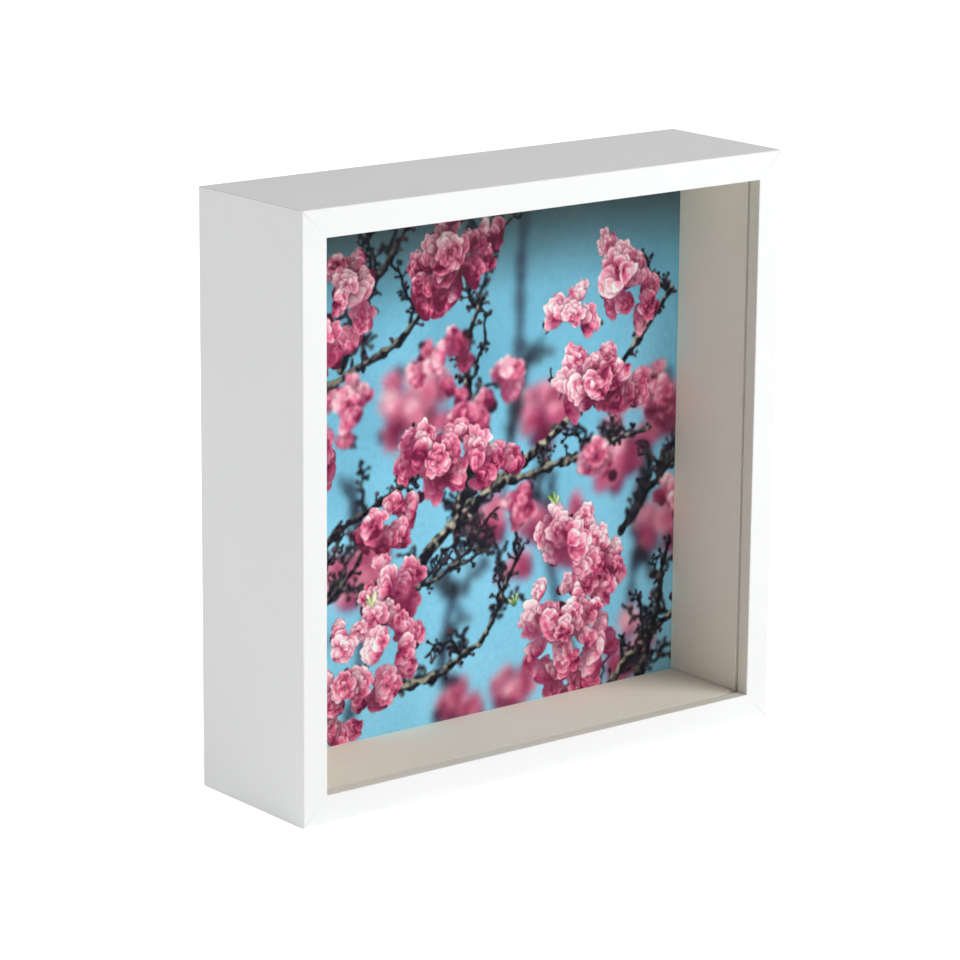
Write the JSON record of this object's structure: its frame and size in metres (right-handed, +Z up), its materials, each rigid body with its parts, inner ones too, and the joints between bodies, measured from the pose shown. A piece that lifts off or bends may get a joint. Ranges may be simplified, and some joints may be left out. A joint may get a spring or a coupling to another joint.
{
  "type": "shadow box",
  "caption": "Deep square white box frame that shows a flat print set well back behind its glass, with bend-up retaining tabs and a back that pulls out.",
  "frame": {"origin": "under the middle of the bottom face, halfway between the front face and the back rim", "axes": "+X to the right as seen from the front, -Y the way the front faces, +Y towards the wall, +Z up"},
  "size_m": [0.25, 0.07, 0.25],
  "materials": {
    "frame_foil": "smooth satin white foil wrapped on fibreboard",
    "glass": "clear float glass with a faint green edge",
    "spacer_paper": "matt warm grey-beige paper on board",
    "print_paper": "semi-matt printed picture of blossom branches against a pale blue sky",
    "fibreboard": "raw brown fibreboard, matt",
    "tab_steel": "rolled spring steel",
    "nail_steel": "plain steel strip",
    "hanger_zinc": "zinc-plated pressed steel",
    "rivet_alloy": "satin aluminium"
  },
  "bodies": {
    "frame": {"moulding_top": "frame_foil", "moulding_bottom": "frame_foil", "moulding_left": "frame_foil", "moulding_right": "frame_foil", "corner_nails": "nail_steel", "glass_pane": "glass", "spacer_top": "spacer_paper", "spacer_bottom": "spacer_paper", "spacer_left": "spacer_paper", "spacer_right": "spacer_paper", "tab_roots": "tab_steel"},
    "back": {"print": "print_paper", "backboard": "fibreboard", "hanger_top": "hanger_zinc", "hanger_side": "hanger_zinc", "hanger_rivets": "rivet_alloy"},
    "tab_top_left": {"tab_top_left": "tab_steel"},
    "tab_top_right": {"tab_top_right": "tab_steel"},
    "tab_bottom_left": {"tab_bottom_left": "tab_steel"},
    "tab_bottom_right": {"tab_bottom_right": "tab_steel"},
    "tab_left_upper": {"tab_left_upper": "tab_steel"},
    "tab_left_lower": {"tab_left_lower": "tab_steel"},
    "tab_right_upper": {"tab_right_upper": "tab_steel"},
    "tab_right_lower": {"tab_right_lower": "tab_steel"}
  },
  "joints": [
    {"name": "back_slide", "type": "slide", "parent": "frame", "child": "back", "axis": [0, 1, 0], "range_m": [0, 0.12]},
    {"name": "top_left_bend", "type": "hinge", "parent": "frame", "child": "tab_top_left", "pos_m": [-0.07, 0.0198, 0.2404], "axis": [-1, 0, 0], "range_deg": [0, 90]},
    {"name": "top_right_bend", "type": "hinge", "parent": "frame", "child": "tab_top_right", "pos_m": [0.07, 0.0198, 0.2404], "axis": [-1, 0, 0], "range_deg": [0, 90]},
    {"name": "bottom_left_bend", "type": "hinge", "parent": "frame", "child": "tab_bottom_left", "pos_m": [-0.07, 0.0198, 0.0096], "axis": [1, 0, 0], "range_deg": [0, 90]},
    {"name": "bottom_right_bend", "type": "hinge", "parent": "frame", "child": "tab_bottom_right", "pos_m": [0.07, 0.0198, 0.0096], "axis": [1, 0, 0], "range_deg": [0, 90]},
    {"name": "left_upper_bend", "type": "hinge", "parent": "frame", "child": "tab_left_upper", "pos_m": [-0.1154, 0.0198, 0.195], "axis": [0, 0, -1], "range_deg": [0, 90]},
    {"name": "left_lower_bend", "type": "hinge", "parent": "frame", "child": "tab_left_lower", "pos_m": [-0.1154, 0.0198, 0.055], "axis": [0, 0, -1], "range_deg": [0, 90]},
    {"name": "right_upper_bend", "type": "hinge", "parent": "frame", "child": "tab_right_upper", "pos_m": [0.1154, 0.0198, 0.195], "axis": [0, 0, 1], "range_deg": [0, 90]},
    {"name": "right_lower_bend", "type": "hinge", "parent": "frame", "child": "tab_right_lower", "pos_m": [0.1154, 0.0198, 0.055], "axis": [0, 0, 1], "range_deg": [0, 90]}
  ]
}
